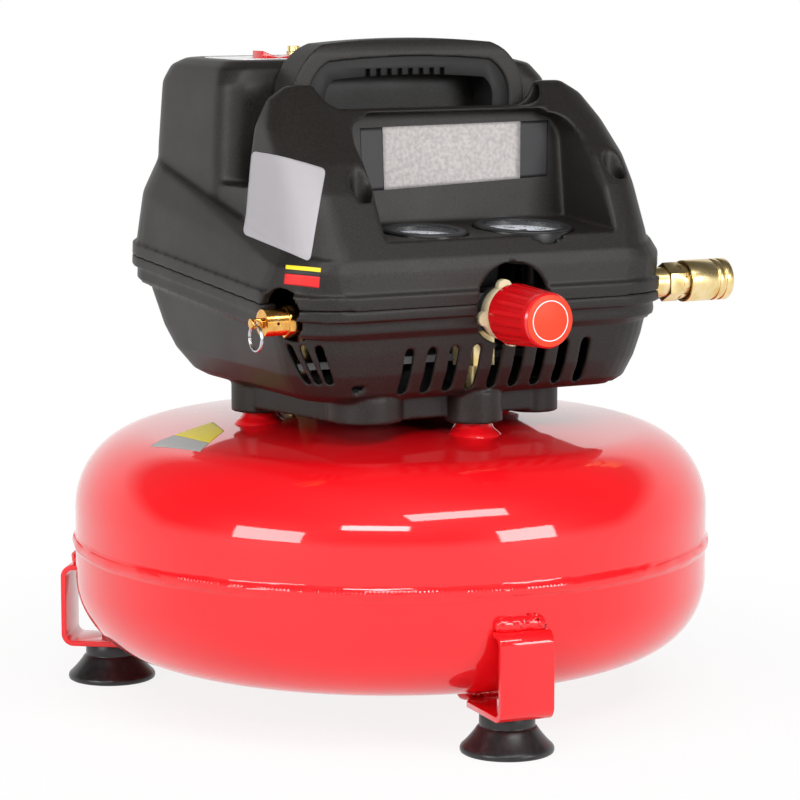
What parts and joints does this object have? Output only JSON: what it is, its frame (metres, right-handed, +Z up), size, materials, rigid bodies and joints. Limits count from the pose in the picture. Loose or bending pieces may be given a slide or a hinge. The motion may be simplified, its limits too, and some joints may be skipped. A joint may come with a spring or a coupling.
{
  "type": "pancake air compressor",
  "caption": "Portable pancake air compressor: round red tank on rubber feet under a black moulded pump shroud with carrying handle, gauges, regulator and quick coupler.",
  "frame": {"origin": "on the floor under the middle of the object's box, which is the tank's axis within a millimetre", "axes": "+Z up; +X towards the quick coupler, along the motor shaft; -Y towards the side with the regulator knob and the gauges"},
  "size_m": [0.3532, 0.3672, 0.3625],
  "materials": {
    "tank_paint": "gloss red baked paint",
    "foot_rubber": "matt black moulded rubber",
    "plated_steel": "bright zinc plate",
    "yellow_brass": "turned, bright",
    "shroud_plastic": "charcoal black with a fine grain",
    "grip_plastic": "black with a fine grain",
    "black_plastic": "plain black",
    "gauge_black": "gloss black",
    "dial_white": "printed white",
    "clear_lens": "clear polished",
    "switch_label": "satin white plate",
    "red_plastic": "gloss red",
    "cream_plastic": "cream nylon",
    "cast_aluminium": "as cast",
    "motor_steel": "laminated steel",
    "piston_ring": "dark filled PTFE",
    "copper_tube": "drawn copper"
  },
  "bodies": {
    "compressor": {"tank_upper_shell": "tank_paint", "tank_lower_shell": "tank_paint", "weld_beads": "tank_paint", "foot_bracket_front": "tank_paint", "foot_bracket_left": "tank_paint", "foot_bracket_right": "tank_paint", "rubber_foot_front": "foot_rubber", "rubber_foot_left": "foot_rubber", "rubber_foot_right": "foot_rubber", "foot_screws": "plated_steel", "shroud_posts": "tank_paint", "isolator_mounts": "foot_rubber", "outlet_riser": "yellow_brass", "drain_valve_body": "yellow_brass", "check_valve": "yellow_brass", "upper_housing": "shroud_plastic", "lower_housing": "shroud_plastic", "handle_cover": "grip_plastic", "handle_insert": "grip_plastic", "housing_screws": "plated_steel", "cord_inlet": "shroud_plastic", "switch_plate": "switch_label", "pressure_switch": "black_plastic", "unloader_fitting": "yellow_brass", "manifold_body": "cast_aluminium", "regulator_bonnet": "cream_plastic", "regulator_spring": "plated_steel", "safety_valve_body": "yellow_brass", "safety_valve_spring": "plated_steel", "coupler_body": "yellow_brass", "coupler_spring": "plated_steel", "coupler_balls": "plated_steel", "large_gauge_case": "gauge_black", "large_gauge_dial": "dial_white", "large_gauge_lens": "clear_lens", "small_gauge_case": "gauge_black", "small_gauge_dial": "dial_white", "small_gauge_lens": "clear_lens", "motor_stator": "motor_steel", "shaft_bearings": "plated_steel", "crankcase": "cast_aluminium", "cylinder": "cast_aluminium", "cylinder_head": "cast_aluminium", "intake_filter": "black_plastic", "discharge_tube": "copper_tube"},
    "regulator": {"regulator_knob": "red_plastic", "regulator_stem": "plated_steel"},
    "rocker": {"switch_rocker": "red_plastic"},
    "relief_pin": {"safety_valve_pin": "yellow_brass"},
    "pull_ring": {"safety_pull_ring": "plated_steel"},
    "sleeve": {"coupler_sleeve": "yellow_brass"},
    "large_needle": {"large_gauge_needle": "black_plastic"},
    "small_needle": {"small_gauge_needle": "black_plastic"},
    "drain_key": {"drain_screw": "yellow_brass"},
    "rotating_group": {"motor_shaft": "plated_steel", "motor_rotor": "motor_steel", "cooling_fan": "black_plastic", "eccentric": "motor_steel"},
    "piston_group": {"connecting_rod": "cast_aluminium", "piston_seal": "piston_ring"}
  },
  "joints": [
    {"name": "regulator_turn", "type": "hinge", "parent": "compressor", "child": "regulator", "pos_m": [0.0105, -0.13, 0.221], "axis": [0, -1, 0], "range_deg": [-1080, 720]},
    {"name": "switch_tilt", "type": "hinge", "parent": "compressor", "child": "rocker", "pos_m": [-0.06, 0.024, 0.3458], "axis": [0, 1, 0], "range_deg": [-14, 0]},
    {"name": "relief_pull", "type": "slide", "parent": "compressor", "child": "relief_pin", "axis": [-1, 0, 0], "range_m": [0, 0.003], "stiffness_N_per_m": 400, "deforming": ["safety_valve_spring"]},
    {"name": "ring_swing", "type": "hinge", "parent": "relief_pin", "child": "pull_ring", "pos_m": [-0.1269, -0.09, 0.22025], "axis": [0, 1, 0], "range_deg": [-20, 90]},
    {"name": "coupler_pull", "type": "slide", "parent": "compressor", "child": "sleeve", "axis": [-1, 0, 0], "range_m": [0, 0.003], "stiffness_N_per_m": 400, "deforming": ["coupler_spring"]},
    {"name": "large_gauge_turn", "type": "hinge", "parent": "compressor", "child": "large_needle", "pos_m": [0.036, -0.082, 0.26291], "axis": [0, -0.075, 0.9972], "range_deg": [-270, 0]},
    {"name": "small_gauge_turn", "type": "hinge", "parent": "compressor", "child": "small_needle", "pos_m": [-0.024, -0.082, 0.26291], "axis": [0, -0.075, 0.9972], "range_deg": [-270, 0]},
    {"name": "drain_turn", "type": "hinge", "parent": "compressor", "child": "drain_key", "pos_m": [0, 0.16777, 0.04406], "axis": [0, 0.8192, -0.5736], "range_deg": [0, 720]},
    {"name": "shaft_spin", "type": "hinge", "parent": "compressor", "child": "rotating_group", "pos_m": [0, 0.028, 0.24], "axis": [1, 0, 0], "continuous": true},
    {"name": "piston_slide", "type": "slide", "parent": "compressor", "child": "piston_group", "axis": [0, 0, -1], "range_m": [0, 0.02]}
  ]
}
